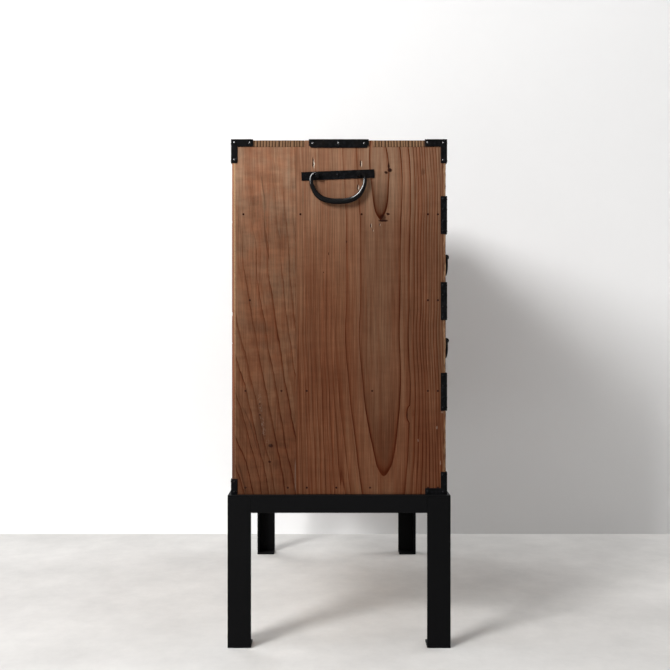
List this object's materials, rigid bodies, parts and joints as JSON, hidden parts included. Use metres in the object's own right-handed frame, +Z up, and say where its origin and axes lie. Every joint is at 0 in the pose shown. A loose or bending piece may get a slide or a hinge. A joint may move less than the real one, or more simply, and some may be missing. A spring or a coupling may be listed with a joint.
{
  "type": "small tansu chest",
  "caption": "Small wooden clothes chest with drawers and a small door, black iron fittings and bail handles, on a square-legged stand of black steel angle.",
  "frame": {"origin": "on the floor, under the middle of the stand", "axes": "+Z up, the front with its drawers faces -Y, -X is the chest's left side seen from the front"},
  "size_m": [0.8146, 0.3902, 0.869],
  "materials": {
    "case_wood": "old brown cedar, dry and softly polished",
    "front_wood": "old brown cedar, dry and softly polished",
    "inner_wood": "bare aged softwood",
    "peg_wood": "dark wooden peg",
    "black_iron": "blackened hand-forged iron",
    "black_steel": "satin black paint"
  },
  "bodies": {
    "case": {"stand_leg_front_left": "black_steel", "stand_leg_front_right": "black_steel", "stand_leg_back_left": "black_steel", "stand_leg_back_right": "black_steel", "stand_foot_pads": "black_steel", "stand_rails_long": "black_steel", "stand_rails_short": "black_steel", "side_left_front_board": "case_wood", "side_left_back_board": "case_wood", "side_right_front_board": "case_wood", "side_right_back_board": "case_wood", "top_front_board": "case_wood", "top_back_board": "case_wood", "bottom_board": "inner_wood", "front_rails": "case_wood", "dust_boards": "inner_wood", "partitions": "case_wood", "back_boards": "case_wood", "wood_pegs": "peg_wood", "corner_irons": "black_iron", "edge_straps": "black_iron", "top_straps": "black_iron", "case_nails": "black_iron", "side_handle_mounts": "black_iron", "door_hinge_frames": "black_iron"},
    "side_bail_left": {"side_bail_left": "black_iron"},
    "side_bail_right": {"side_bail_right": "black_iron"},
    "drawer_top_left": {"drawer_top_left_front": "front_wood", "drawer_top_left_box": "inner_wood", "drawer_top_left_bottom": "inner_wood", "drawer_top_left_fittings": "black_iron"},
    "drawer_top_left_bail": {"drawer_top_left_bail": "black_iron"},
    "drawer_top_right": {"drawer_top_right_front": "front_wood", "drawer_top_right_box": "inner_wood", "drawer_top_right_bottom": "inner_wood", "drawer_top_right_fittings": "black_iron"},
    "drawer_top_right_bail": {"drawer_top_right_bail": "black_iron"},
    "drawer_upper": {"drawer_upper_front": "front_wood", "drawer_upper_box": "inner_wood", "drawer_upper_bottom": "inner_wood", "drawer_upper_fittings": "black_iron"},
    "drawer_upper_bail_left": {"drawer_upper_bail_left": "black_iron"},
    "drawer_upper_bail_right": {"drawer_upper_bail_right": "black_iron"},
    "drawer_upper_lock_bolt": {"drawer_upper_lock_bolt": "black_iron"},
    "drawer_lower": {"drawer_lower_front": "front_wood", "drawer_lower_box": "inner_wood", "drawer_lower_bottom": "inner_wood", "drawer_lower_fittings": "black_iron"},
    "drawer_lower_bail_left": {"drawer_lower_bail_left": "black_iron"},
    "drawer_lower_bail_right": {"drawer_lower_bail_right": "black_iron"},
    "drawer_lower_lock_bolt": {"drawer_lower_lock_bolt": "black_iron"},
    "drawer_bottom": {"drawer_bottom_front": "front_wood", "drawer_bottom_box": "inner_wood", "drawer_bottom_bottom": "inner_wood", "drawer_bottom_fittings": "black_iron"},
    "drawer_bottom_bail": {"drawer_bottom_bail": "black_iron"},
    "door": {"door_panel": "front_wood", "door_irons": "black_iron"},
    "door_lock_bolt": {"door_lock_bolt": "black_iron"}
  },
  "joints": [
    {"name": "side_bail_left_swing", "type": "hinge", "parent": "case", "child": "side_bail_left", "pos_m": [-0.4015, 0.002, 0.8065], "axis": [0, 0.9992, -0.0401], "range_deg": [-4, 170]},
    {"name": "side_bail_right_swing", "type": "hinge", "parent": "case", "child": "side_bail_right", "pos_m": [0.4015, 0.002, 0.8065], "axis": [0, -0.9992, 0.0401], "range_deg": [-4, 170]},
    {"name": "drawer_top_left_slide", "type": "slide", "parent": "case", "child": "drawer_top_left", "axis": [0, -1, 0], "range_m": [0, 0.26]},
    {"name": "drawer_top_left_bail_swing", "type": "hinge", "parent": "drawer_top_left", "child": "drawer_top_left_bail", "pos_m": [-0.19275, -0.1952, 0.80825], "axis": [-1, 0, 0], "range_deg": [-14, 150]},
    {"name": "drawer_top_right_slide", "type": "slide", "parent": "case", "child": "drawer_top_right", "axis": [0, -1, 0], "range_m": [0, 0.26]},
    {"name": "drawer_top_right_bail_swing", "type": "hinge", "parent": "drawer_top_right", "child": "drawer_top_right_bail", "pos_m": [0.19275, -0.1952, 0.80825], "axis": [-1, 0, 0], "range_deg": [-14, 150]},
    {"name": "drawer_upper_slide", "type": "slide", "parent": "case", "child": "drawer_upper", "axis": [0, -1, 0], "range_m": [0, 0.26]},
    {"name": "drawer_upper_bail_left_swing", "type": "hinge", "parent": "drawer_upper", "child": "drawer_upper_bail_left", "pos_m": [-0.247, -0.1952, 0.67275], "axis": [-1, 0, 0], "range_deg": [-14, 150]},
    {"name": "drawer_upper_bail_right_swing", "type": "hinge", "parent": "drawer_upper", "child": "drawer_upper_bail_right", "pos_m": [0.247, -0.1952, 0.67275], "axis": [-1, 0, 0], "range_deg": [-14, 150]},
    {"name": "drawer_upper_lock_bolt_throw", "type": "slide", "parent": "drawer_upper", "child": "drawer_upper_lock_bolt", "axis": [0, 0, 1], "range_m": [0, 0.008]},
    {"name": "drawer_lower_slide", "type": "slide", "parent": "case", "child": "drawer_lower", "axis": [0, -1, 0], "range_m": [0, 0.26]},
    {"name": "drawer_lower_bail_left_swing", "type": "hinge", "parent": "drawer_lower", "child": "drawer_lower_bail_left", "pos_m": [-0.247, -0.1952, 0.52175], "axis": [-1, 0, 0], "range_deg": [-14, 150]},
    {"name": "drawer_lower_bail_right_swing", "type": "hinge", "parent": "drawer_lower", "child": "drawer_lower_bail_right", "pos_m": [0.247, -0.1952, 0.52175], "axis": [-1, 0, 0], "range_deg": [-14, 150]},
    {"name": "drawer_lower_lock_bolt_throw", "type": "slide", "parent": "drawer_lower", "child": "drawer_lower_lock_bolt", "axis": [0, 0, 1], "range_m": [0, 0.008]},
    {"name": "drawer_bottom_slide", "type": "slide", "parent": "case", "child": "drawer_bottom", "axis": [0, -1, 0], "range_m": [0, 0.26]},
    {"name": "drawer_bottom_bail_swing", "type": "hinge", "parent": "drawer_bottom", "child": "drawer_bottom_bail", "pos_m": [-0.1385, -0.1952, 0.3615], "axis": [-1, 0, 0], "range_deg": [-14, 150]},
    {"name": "door_swing", "type": "hinge", "parent": "case", "child": "door", "pos_m": [0.3775, -0.1863, 0.35325], "axis": [0, 0, 1], "range_deg": [0, 165]},
    {"name": "door_lock_bolt_throw", "type": "slide", "parent": "door", "child": "door_lock_bolt", "axis": [-1, 0, 0], "range_m": [0, 0.008]}
  ]
}
